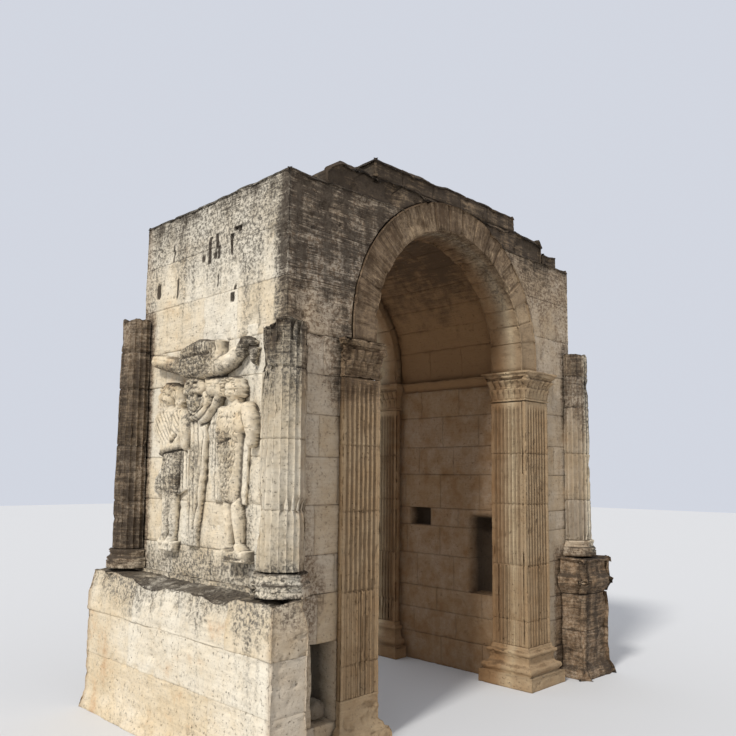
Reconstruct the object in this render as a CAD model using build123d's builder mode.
"""Ruined one-bay triumphal arch of limestone blocks, in millimetres.

Frame: origin on the ground at the middle of the footprint, +X along the front from the left pier to the
right pier, +Y through the passage from front to back, +Z up.
"""
import os
from math import atan, cos, degrees, pi, radians, sin

from build123d import *

os.makedirs("parts", exist_ok=True)

# Block of masonry
wing_width = 800
depth = 3110
spring_height = 4775

# Opening and arch
opening_width = 3100
inner_wall_recess = 120
ring_thickness = 410
ring_depth = 560
ring_projection = 20
arch_stilt = 175

# Steps of the ruined top: setbacks of each course from the ends of the one below it
crown_cover = 25
lower_course_height = 330
lower_course_left_setback = 550
lower_course_slope = 280
remnant_setback = 360
remnant_height = 170
remnant_length = 390
upper_course_height = 240
upper_course_left_setback = 520
upper_course_right_setback = 780

# Pilasters on the piers
pilaster_width = 600
pilaster_projection = 70
flute_count = 7
flute_margin = 45
flute_fillet = 18
reed_top = 1720
reed_drop = 8

# Attic base and plinth under each pair of pilasters
plinth_height = 190
plinth_projection = 160
base_torus_height = 130
base_torus_projection = 130
base_scotia_height = 110
base_scotia_projection = 50
base_upper_torus_height = 90
base_upper_torus_projection = 80
base_fillet_height = 50
base_fillet_projection = 25
round_moulding_share = 0.45

# Capital over each pair of pilasters
capital_height = 450
astragal_height = 45
astragal_projection = 25
bell_spread = 90
abacus_height = 90
abacus_projection = 120
leaf_counts = (4, 3)
leaf_heights = (150, 255)
leaf_width = 118
leaf_foot_width = 100
leaf_root = 22
leaf_tip = 62
leaf_curl = 16
volute_diameter = 84
volute_thickness = 46

# Form of a capital's leaf, as shares of its height and, for its hook, of its tip's reach
leaf_straight = 0.45
leaf_widest = 0.5
leaf_back = 0.75
leaf_bend = 0.8
leaf_crest = 0.92
leaf_peak = 1.08
leaf_hook = 0.7

# Cornice at the spring of the vault, on the inner walls
impost_height = 170
impost_projection = 90

# Corner columns, engaged for three quarters of their section
column_diameter = 540
column_top_diameter = 500
column_offset = 30
column_flutes = 20
column_flute_fillet = 22
column_base_height = 250
column_base_projection = 60
column_plinth_height = 90
column_torus_setbacks = (10, 20, 35, 40)
column_scotia_depth = 50
column_torus_bulge = 5
column_tops = {"front_left": 4650, "back_left": 5040, "front_right": 5050, "back_right": 4850}
column_breaks = {"front_left": 9, "back_left": -20, "front_right": 5, "back_right": -8}

# Podium below the columns and the reliefs: footing, die, cornice and the blocks on the cornice
podium_height = 1800
podium_footing_height = 220
podium_footing_projection = 120
podium_side_projection = 430
podium_front_projection = 410
pedestal_width = 820
broken_pedestal_width = 480
cornice_step = 70
cornice_height = 230
cornice_step_overhang = 50
cornice_overhang = 110
socle_height = 260
socle_overhang = 40
worn_cornice_overhang = 15
worn_socle_setback = 40

# Robbed block beside the left pilaster
robbed_width = 320
robbed_height = 860
robbed_sill = 350
robbed_depth = 380
robbed_stone_diameter = 230
robbed_stone_width = 270
robbed_stone_length = 300
robbed_stone_clearance = 10

# Places broken out of the right pier's inner wall: ranges along the wall and up, and their depth
broken_places = (((-900, -480), (1210, 2420), 300), ((350, 750), (2210, 2500), 220))

# Captives on the side walls; levels and spreads are shares of a captive's height
captive_height = 1970
captive_foot = 2160
captive_depth = 260
captive_gap = 100
captive_axis_share = 0.35
body_profile = ((0.31, 0.115), (0.45, 0.105), (0.64, 0.095), (0.76, 0.13), (0.81, 0.12), (0.85, 0.05),
                (0.87, 0.045))
head_level = 0.93
head_share = 0.072
hip = (0.36, 0.055)
ankle = (0.0, 0.07)
shoulder = (0.79, 0.115)
elbow = (0.63, 0.16)
wrist = (0.57, 0.05)
leg_share = 0.085
arm_share = 0.066
limb_bend = 0.7
arm_setback = 50
foot_size = (0.12, 0.07, 0.045)
cloak_outline = ((0.83, 0.04), (0.80, 0.16), (0.40, 0.175), (0.38, 0.02))
cloak_thickness = 70
bracket_height = 110
bracket_width = 480
bracket_depth = 230

# Trophy between the captives: heights of its parts, from the trunk up
trophy_foot_diameter = 400
trophy_trunk_diameter = 330
trophy_embedding = 60
helmet_height = 480
helmet_diameter = 390
helmet_brow_level = 0.45
tunic_height = 450
tunic_depth = 150
tunic_widths = (480, 700, 560)
sheaf_diameter = 240
sheaf_clearance = 60
sheaf_reach = 1080
sheaf_rise = 200
quiver_diameter = 110
quiver_length = 640
quiver_lean = 24
quiver_level = 0.9
horn_diameter = 70
horn_reach = 330
horn_drop = 250

# Values worked out from the sizes above
half_depth = depth / 2
half_opening = opening_width / 2
half_width = half_opening + pilaster_width + wing_width
inner_wall = half_opening + inner_wall_recess
ring_outer = half_opening + ring_thickness
impost_top = spring_height - arch_stilt
capital_bottom = impost_top - capital_height
vault_half_length = half_depth - ring_depth
pilaster_front = half_depth + pilaster_projection
pilaster_outer = half_opening + pilaster_width
podium_die_top = podium_height - socle_height - cornice_height - cornice_step
base_heights = (base_torus_height, base_scotia_height, base_upper_torus_height, base_fillet_height)
base_top = plinth_height + sum(base_heights)
column_axis_x = half_width + column_offset
column_axis_y = half_depth + column_offset
column_base_top = podium_height + column_base_height
lower_course_top = spring_height + ring_outer + crown_cover
side_wall_top = lower_course_top - lower_course_height
crown_height = lower_course_top + upper_course_height

ends = {"front": -1, "back": 1}
sides = {"left": -1, "right": 1}


def save(part, name):
    """Label a finished piece and write it to its own file."""
    part.label = name
    export_step(part, f"parts/{name}.step")


def save_quarter(part, name, side, end):
    """Turn a piece modelled at the right back corner to the corner that side and end name, and save it."""
    if sides[side] < 0:
        part = mirror(part, about=Plane.YZ)
    if ends[end] < 0:
        part = mirror(part, about=Plane.XZ)
    save(part, f"{name}_{end}_{side}")


def save_side(part, name, side):
    """Turn a piece modelled on the right to the named side, and save it."""
    if sides[side] < 0:
        part = mirror(part, about=Plane.YZ)
    save(part, f"{name}_{side}")


def block(x_range, y_range, z_range, mode=Mode.ADD):
    """Plain block between two values on each axis."""
    size = [high - low for low, high in (x_range, y_range, z_range)]
    middle = [(high + low) / 2 for low, high in (x_range, y_range, z_range)]
    with Locations(tuple(middle)):
        return Box(*size, mode=mode)


def cut_pier(bottom=0, top=crown_height):
    """Take the pier's masonry, on the right side, away from the piece being made."""
    block((inner_wall, half_width), (-half_depth, half_depth), (bottom - 1, top + 1), mode=Mode.SUBTRACT)


def arch_face(radius, top_of_jamb, floor):
    """Sketch of a round-headed opening: a half disc on straight jambs."""
    with Locations((0, top_of_jamb)):
        Circle(radius)
    with Locations((0, (top_of_jamb + floor) / 2)):
        Rectangle(2 * radius, top_of_jamb - floor)
    with Locations((0, floor - radius)):
        Rectangle(4 * radius, 2 * radius, mode=Mode.SUBTRACT)


# Piers: the masonry of each leg up to the impost
for side in sides:
    with BuildPart() as pier:
        block((inner_wall, half_width), (-half_depth, half_depth), (0, impost_top))
        if side == "left":
            robbed_x = (pilaster_outer, pilaster_outer + robbed_width)
            robbed_z = (robbed_sill, robbed_sill + robbed_height)
            block(robbed_x, (-half_depth, -half_depth + robbed_depth), robbed_z, mode=Mode.SUBTRACT)
        else:
            for along, up, hollow in broken_places:
                block((inner_wall, inner_wall + hollow), along, up, mode=Mode.SUBTRACT)
    save_side(pier.part, "pier", side)

# Rounded stone left lying in the robbed place
with BuildPart() as robbed_stone:
    stone_x = -(pilaster_outer + robbed_width / 2)
    stone_plane = Plane.XZ.offset(half_depth - robbed_depth + robbed_stone_clearance)
    with BuildSketch(stone_plane):
        with Locations((stone_x, robbed_sill + robbed_stone_diameter / 2)):
            RectangleRounded(robbed_stone_width, robbed_stone_diameter, robbed_stone_diameter / 3)
    extrude(amount=robbed_stone_length)
save(robbed_stone.part, "robbed_stone")


def fluted_face(width, height, projection):
    """Pilaster standing on the XY plane: its face looks along -Y, with flutes filled in their lower part."""
    pitch = (width - 2 * flute_margin) / flute_count
    radius = (pitch - flute_fillet) / 2
    with BuildPart() as shaft:
        block((-width / 2, width / 2), (-projection, 0), (0, height))
        with BuildSketch(Plane.XY.offset(height)):
            with Locations((0, -projection)):
                with GridLocations(pitch, 0, flute_count, 1):
                    Circle(radius)
        extrude(amount=-height, mode=Mode.SUBTRACT)
        with BuildSketch(Plane.XY):
            with Locations((0, -projection + reed_drop + radius)):
                with GridLocations(pitch, 0, flute_count, 1):
                    Circle(radius)
            with Locations((0, -projection / 2)):
                Rectangle(width, projection, mode=Mode.INTERSECT)
        extrude(amount=reed_top - base_top)
    return shaft.part


# Pilasters: one on the face and one on the jamb of each corner of the piers
shaft_height = capital_bottom - base_top
front_shaft = fluted_face(pilaster_width, shaft_height, pilaster_projection)
jamb_shaft = fluted_face(ring_depth, shaft_height, inner_wall_recess)
for side in sides:
    for end in ends:
        front_place = Location((half_opening + pilaster_width / 2, half_depth, base_top), (0, 0, 180))
        jamb_place = Location((inner_wall, half_depth - ring_depth / 2, base_top), (0, 0, -90))
        save_quarter(front_place * front_shaft, "pilaster", side, end)
        save_quarter(jamb_place * jamb_shaft, "jamb_pilaster", side, end)


def around_pilasters(bottom, height, projection, round_edge=0):
    """Slab around a pair of pilasters, standing proud of their faces by the projection."""
    with BuildPart() as slab:
        x_range = (half_opening - projection, pilaster_outer + projection)
        y_range = (vault_half_length - projection, pilaster_front + projection)
        block(x_range, y_range, (bottom, bottom + height))
        if round_edge:
            rims = slab.faces().sort_by(Axis.Z)[0].edges() + slab.faces().sort_by(Axis.Z)[-1].edges()
            fillet(rims, round_edge)
    return slab.part


# Attic base and plinth under each pair of pilasters
base_projections = (base_torus_projection, base_scotia_projection, base_upper_torus_projection,
                    base_fillet_projection)
base_slabs = [around_pilasters(0, plinth_height, plinth_projection)]
base_level = plinth_height
is_round = (True, False, True, False)
for slab_height, slab_projection, rounded in zip(base_heights, base_projections, is_round):
    rounding = slab_height * round_moulding_share if rounded else 0
    base_slabs.append(around_pilasters(base_level, slab_height, slab_projection, rounding))
    base_level += slab_height
with BuildPart() as pilaster_base:
    add(base_slabs)
    cut_pier()


def leaf(height):
    """Leaf of a capital, standing on the XY plane: it leans out along +Y and curls at its pointed tip."""
    with BuildPart() as blade:
        with BuildSketch(Plane.YZ):
            with BuildLine():
                bend = (leaf_tip, height * leaf_bend)
                front = ThreePointArc((leaf_root, 0), (leaf_root, height * leaf_straight), bend)
                curl_middle = (leaf_tip + leaf_curl, height * leaf_crest)
                tip = ThreePointArc(bend, curl_middle, (leaf_tip * leaf_hook, height))
                Polyline(tip @ 1, (-leaf_root, height * leaf_back), (-leaf_root, 0), front @ 0)
            make_face()
        extrude(amount=leaf_width / 2, both=True)
        with BuildSketch(Plane.XZ):
            with BuildLine():
                foot = leaf_foot_width / 2
                widest = (leaf_width / 2, height * leaf_widest)
                right = ThreePointArc((foot, 0), widest, (0, height * leaf_peak))
                mirror(right, about=Plane.YZ)
                Line((foot, 0), (-foot, 0))
            make_face()
        extrude(amount=2 * (leaf_tip + leaf_curl), both=True, mode=Mode.INTERSECT)
    return blade.part


# Capital over each pair: astragal, flaring bell with two rows of leaves, corner volutes and abacus
bell_bottom = capital_bottom + astragal_height
bell_top = impost_top - abacus_height
astragal_rounding = astragal_height * round_moulding_share
astragal = around_pilasters(capital_bottom, astragal_height, astragal_projection, astragal_rounding)
abacus = around_pilasters(bell_top, abacus_height, abacus_projection)
with BuildPart() as capital:
    add(astragal)
    bell_size = (pilaster_width, pilaster_front - vault_half_length)
    bell_centre = (half_opening + pilaster_width / 2, (pilaster_front + vault_half_length) / 2)
    for bell_level, spread in ((bell_bottom, 0), (bell_top, bell_spread)):
        with BuildSketch(Plane.XY.offset(bell_level)):
            with Locations(bell_centre):
                Rectangle(bell_size[0] + 2 * spread, bell_size[1] + 2 * spread)
    loft()
    for count, leaf_height in zip(leaf_counts, leaf_heights):
        blade = leaf(leaf_height)
        for place in range(count):
            share = (place + 0.5) / count - 0.5
            front_place = (bell_centre[0] + share * bell_size[0], pilaster_front, bell_bottom)
            jamb_place = (half_opening, bell_centre[1] + share * bell_size[1], bell_bottom)
            add(Location(front_place) * blade)
            add(Location(jamb_place, (0, 0, 90)) * blade)
    add(abacus)
    volute_level = bell_top - volute_diameter / 2
    for volute_x in (half_opening - bell_spread / 2, pilaster_outer + bell_spread / 2):
        with BuildSketch(Plane.XZ.offset(-(pilaster_front + bell_spread / 2))):
            with Locations((volute_x, volute_level)):
                Circle(volute_diameter / 2)
        extrude(amount=-volute_thickness)
    cut_pier()

for side in sides:
    for end in ends:
        save_quarter(pilaster_base.part, "pilaster_base", side, end)
        save_quarter(capital.part, "capital", side, end)

# Cornice along the inner walls at the spring of the vault, between the capitals
with BuildPart() as impost:
    with BuildSketch(Plane.XZ):
        with BuildLine():
            Polyline(
                (inner_wall, impost_top),
                (inner_wall - impost_projection, impost_top),
                (inner_wall - impost_projection, impost_top - impost_height / 3),
                (inner_wall - impost_projection / 2, impost_top - impost_height * 2 / 3),
                (inner_wall, impost_top - impost_height),
                close=True,
            )
        make_face()
    extrude(amount=vault_half_length - abacus_projection, both=True)
for side in sides:
    save_side(impost.part, "impost", side)


# A standing solid has its lowest face's middle at its place
standing = (Align.CENTER, Align.CENTER, Align.MIN)

# Corner columns: tapered shafts with leaning round flutes, broken off at different heights
tallest = max(column_tops.values()) + column_diameter
shaft_length = tallest - column_base_top
flute_radius = (pi * column_diameter / column_flutes - column_flute_fillet) / 2
taper = degrees(atan((column_diameter - column_top_diameter) / 2 / shaft_length))
with BuildPart() as whole_column:
    with Locations((column_axis_x, column_axis_y, column_base_top)):
        Cone(column_diameter / 2, column_top_diameter / 2, shaft_length, align=standing)
        with PolarLocations(0, column_flutes, start_angle=180 / column_flutes):
            with Locations(Location((column_diameter / 2, 0, 0), (0, -taper, 0))):
                Cylinder(flute_radius, 2.5 * shaft_length, mode=Mode.SUBTRACT)
    cut_pier()

for side in sides:
    for end in ends:
        corner = f"{end}_{side}"
        with BuildPart() as column:
            add(whole_column.part)
            tilt = radians(column_breaks[corner])
            top_middle = (column_axis_x, column_axis_y, column_tops[corner])
            broken = Plane(top_middle, z_dir=(sin(tilt), sin(tilt) / 2, cos(tilt)))
            split(bisect_by=broken, keep=Keep.BOTTOM)
        save_quarter(column.part, "column", side, end)

# Attic base of a column, with a round plinth
with BuildPart() as column_base:
    rim = column_diameter / 2 + column_base_projection
    torus_height = (column_base_height - column_plinth_height) / 3
    with BuildSketch(Plane.XZ.offset(-column_axis_y)):
        with BuildLine():
            plinth_top = podium_height + column_plinth_height
            levels = [plinth_top + step * torus_height / 2 for step in range(6)]
            rims = [column_axis_x + rim - setback for setback in column_torus_setbacks]
            l1 = Polyline(
                (column_axis_x, podium_height),
                (column_axis_x + rim, podium_height),
                (column_axis_x + rim, levels[0]),
                (rims[0], levels[0]),
            )
            torus_middle = (column_axis_x + rim + column_torus_bulge, levels[1])
            l2 = ThreePointArc(l1 @ 1, torus_middle, (rims[1], levels[2]))
            scotia_middle = (column_axis_x + rim - column_scotia_depth, levels[3])
            l3 = ThreePointArc(l2 @ 1, scotia_middle, (rims[2], levels[4]))
            l4 = ThreePointArc(l3 @ 1, (rims[1], levels[5]), (rims[3], column_base_top))
            Polyline(l4 @ 1, (column_axis_x, column_base_top), (column_axis_x, podium_height))
        make_face()
    revolve(axis=Axis((column_axis_x, column_axis_y, 0), (0, 0, 1)))
    cut_pier()
for side in sides:
    for end in ends:
        save_quarter(column_base.part, "column_base", side, end)


def podium_layer(bottom, height, overhang, front_pedestal):
    """Layer of a podium on the right side, around the pier, as far out from the die as its overhang."""
    outer_x = half_width + podium_side_projection
    outer_y = half_depth + podium_front_projection + overhang
    front_end = outer_x - front_pedestal - overhang
    back_end = outer_x - pedestal_width - overhang
    with BuildPart() as layer:
        with BuildSketch(Plane.XY.offset(bottom)):
            with BuildLine():
                Polyline(
                    (front_end, -outer_y),
                    (outer_x + overhang, -outer_y),
                    (outer_x + overhang, outer_y),
                    (back_end, outer_y),
                    (back_end, half_depth),
                    (half_width, half_depth),
                    (half_width, -half_depth),
                    (front_end, -half_depth),
                    close=True,
                )
            make_face()
        extrude(amount=height)
    return layer.part


# Podiums: the left one has lost its front return, and the overhang of its cornice
for side in sides:
    worn = side == "left"
    front_pedestal = broken_pedestal_width if worn else pedestal_width
    with BuildPart() as podium:
        add(podium_layer(0, podium_footing_height, podium_footing_projection, front_pedestal))
        add(podium_layer(0, podium_die_top, 0, front_pedestal))
    save_side(podium.part, "podium", side)
    with BuildPart() as podium_cap:
        layers = (
            (cornice_step, 0 if worn else cornice_step_overhang),
            (cornice_height, worn_cornice_overhang if worn else cornice_overhang),
            (socle_height, -worn_socle_setback if worn else socle_overhang),
        )
        level = podium_die_top
        for layer_height, overhang in layers:
            add(podium_layer(level, layer_height, overhang, front_pedestal))
            level += layer_height
    save_side(podium_cap.part, "podium_cap", side)

# Front and back rings of the arch
for end, direction in ends.items():
    with BuildPart() as ring:
        ring_back = direction * vault_half_length
        ring_front = direction * (half_depth + ring_projection)
        with BuildSketch(Plane.XZ.offset(-ring_back)):
            arch_face(ring_outer, spring_height, impost_top)
        extrude(amount=-(ring_front - ring_back))
        with BuildSketch(Plane.XZ.offset(-ring_back)):
            arch_face(half_opening, spring_height, impost_top)
        extrude(amount=-(ring_front - ring_back), mode=Mode.SUBTRACT)
    save(ring.part, f"arch_ring_{end}")

# Barrel vault between the rings
with BuildPart() as vault:
    with BuildSketch(Plane.XZ):
        arch_face(ring_outer, spring_height, impost_top)
    extrude(amount=vault_half_length, both=True)
    with BuildSketch(Plane.XZ):
        arch_face(inner_wall, spring_height, impost_top)
    extrude(amount=vault_half_length, both=True, mode=Mode.SUBTRACT)
save(vault.part, "vault")

# Walls beside the arch, up to the level top of the side walls
for side in sides:
    with BuildPart() as upper_wall:
        block((0, half_width), (-half_depth, half_depth), (impost_top, side_wall_top))
        with BuildSketch(Plane.XZ):
            arch_face(ring_outer, spring_height, impost_top - 1)
        extrude(amount=depth, both=True, mode=Mode.SUBTRACT)
    save_side(upper_wall.part, "upper_wall", side)

# Lower course over the crown, with a sloping left end and a thin remnant at the right
lower_left = half_width - lower_course_left_setback
remnant_end = half_width - remnant_setback
lower_right = remnant_end - remnant_length
with BuildPart() as lower_course:
    with BuildSketch(Plane.XZ):
        with BuildLine():
            Polyline(
                (-lower_left, side_wall_top),
                (-lower_left + lower_course_slope, lower_course_top),
                (lower_right, lower_course_top),
                (lower_right, side_wall_top + remnant_height),
                (remnant_end, side_wall_top + remnant_height),
                (remnant_end, side_wall_top),
                close=True,
            )
        make_face()
        with Locations((0, spring_height)):
            Circle(ring_outer, mode=Mode.SUBTRACT)
    extrude(amount=half_depth, both=True)
save(lower_course.part, "lower_crown_course")

# Upper course, the highest stones left
with BuildPart() as upper_course:
    upper_left = lower_left - lower_course_slope - upper_course_left_setback
    upper_right = lower_right - upper_course_right_setback
    block((-upper_left, upper_right), (-half_depth, half_depth), (lower_course_top, crown_height))
save(upper_course.part, "upper_crown_course")


def limb(points, diameter):
    """Round limb along a straight or bent line, rounded at its bends."""
    with BuildLine() as path:
        if len(points) > 2:
            FilletPolyline(*points, radius=diameter * limb_bend)
        else:
            Line(*points)
    with BuildSketch(Plane(points[0], z_dir=path.line % 0)) as section:
        Circle(diameter / 2)
    sweep(section.sketch, path=path.line)


def keep_outside_wall():
    """Cut a relief back to the face of the side wall."""
    split(bisect_by=Plane((half_width, 0, 0), z_dir=(1, 0, 0)), keep=Keep.TOP)


def captive(middle_y, outer):
    """Bound captive in a tunic and cloak on the right side wall; outer is the way to the wall's end."""
    face = half_width + captive_depth * captive_axis_share
    height = captive_height

    def place(spot, way, setback=0):
        """Point at a spot's level and spread, to one side of the captive's middle."""
        return (face - setback, middle_y + way * spot[1] * height, captive_foot + spot[0] * height)

    with BuildPart() as figure:
        with BuildSketch(Plane((face, middle_y, captive_foot), x_dir=(0, 1, 0), z_dir=(1, 0, 0))):
            with BuildLine():
                outline = [(radius * height, level * height) for level, radius in body_profile]
                body = Polyline((0, outline[0][1]), *outline)
                head = ThreePointArc(body @ 1, (head_share * height, head_level * height), (0, height))
                Line(head @ 1, body @ 0)
            make_face()
        revolve(axis=Axis((face, middle_y, 0), (0, 0, 1)))
        with BuildSketch(Plane((half_width, middle_y, captive_foot), x_dir=(0, 1, 0), z_dir=(1, 0, 0))):
            with BuildLine():
                cloak = [(outer * spread * height, level * height) for level, spread in cloak_outline]
                Polyline(cloak, close=True)
            make_face()
        extrude(amount=cloak_thickness)
        for way in (-1, 1):
            limb((place(hip, way), place(ankle, way)), leg_share * height)
            foot_length, foot_width, foot_height = (share * height for share in foot_size)
            foot_middle = middle_y + way * ankle[1] * height
            with Locations((face + foot_length / 4, foot_middle, captive_foot + foot_height / 2)):
                Box(foot_length, foot_width, foot_height)
            arm = (place(shoulder, way), place(elbow, way), place(wrist, way, arm_setback))
            limb(arm, arm_share * height)
        block((half_width, half_width + bracket_depth),
              (middle_y - bracket_width / 2, middle_y + bracket_width / 2),
              (captive_foot - bracket_height, captive_foot))
        keep_outside_wall()
    return figure.part


# Levels of the trophy: its sheaves of arms clear the captives' heads
sheaf_level = captive_foot + captive_height + sheaf_clearance + sheaf_diameter / 2
tunic_bottom = sheaf_level - sheaf_diameter / 2
trunk_top = tunic_bottom - helmet_height
trophy_x = half_width + trophy_embedding

# Trophy between the captives: a trunk with a helmet, a tunic, two sheaves of arms, a quiver and a horn
with BuildPart() as trophy:
    with Locations((trophy_x, 0, captive_foot)):
        Cone(trophy_foot_diameter / 2, trophy_trunk_diameter / 2, trunk_top - captive_foot, align=standing)
    with BuildSketch(Plane((trophy_x, 0, trunk_top), x_dir=(0, 1, 0), z_dir=(1, 0, 0))):
        with BuildLine():
            rim_reach = trophy_trunk_diameter / 2
            widest = (helmet_diameter / 2, helmet_height * helmet_brow_level)
            brow = ThreePointArc((rim_reach, 0), widest, (rim_reach, helmet_height))
            Polyline(brow @ 1, (0, helmet_height), (0, 0), brow @ 0)
        make_face()
    revolve(axis=Axis((trophy_x, 0, 0), (0, 0, 1)))
    for share, width in zip((0, 0.5, 1), tunic_widths):
        with BuildSketch(Plane((trophy_x, 0, tunic_bottom + share * tunic_height))):
            Ellipse(tunic_depth, width / 2)
    loft()
    for way in (-1, 1):
        root = (trophy_x, way * min(tunic_widths) / 4, sheaf_level)
        limb((root, (trophy_x, way * sheaf_reach, sheaf_level + sheaf_rise)), sheaf_diameter)
    lean = radians(quiver_lean)
    quiver_height = tunic_bottom + tunic_height * quiver_level
    quiver_top = (trophy_x + tunic_depth / 2, -tunic_widths[1] / 2, quiver_height)
    quiver_foot = Vector(quiver_top) + Vector(0, sin(lean), -cos(lean)) * quiver_length
    limb((quiver_top, quiver_foot), quiver_diameter)
    horn_mouth = Vector(trophy_x, -horn_reach, trunk_top + helmet_height / 3)
    horn_bend = horn_mouth - Vector(0, 0, horn_drop)
    limb((horn_mouth, horn_bend, (trophy_x, 0, horn_bend.Z)), horn_diameter)
    keep_outside_wall()

elbow_reach = (elbow[1] + arm_share / 2) * captive_height
captive_middle = trophy_foot_diameter / 2 + captive_gap + elbow_reach
for side in sides:
    save_side(trophy.part, "trophy", side)
    save_side(captive(-captive_middle, -1), "captive_front", side)
    save_side(captive(captive_middle, 1), "captive_back", side)
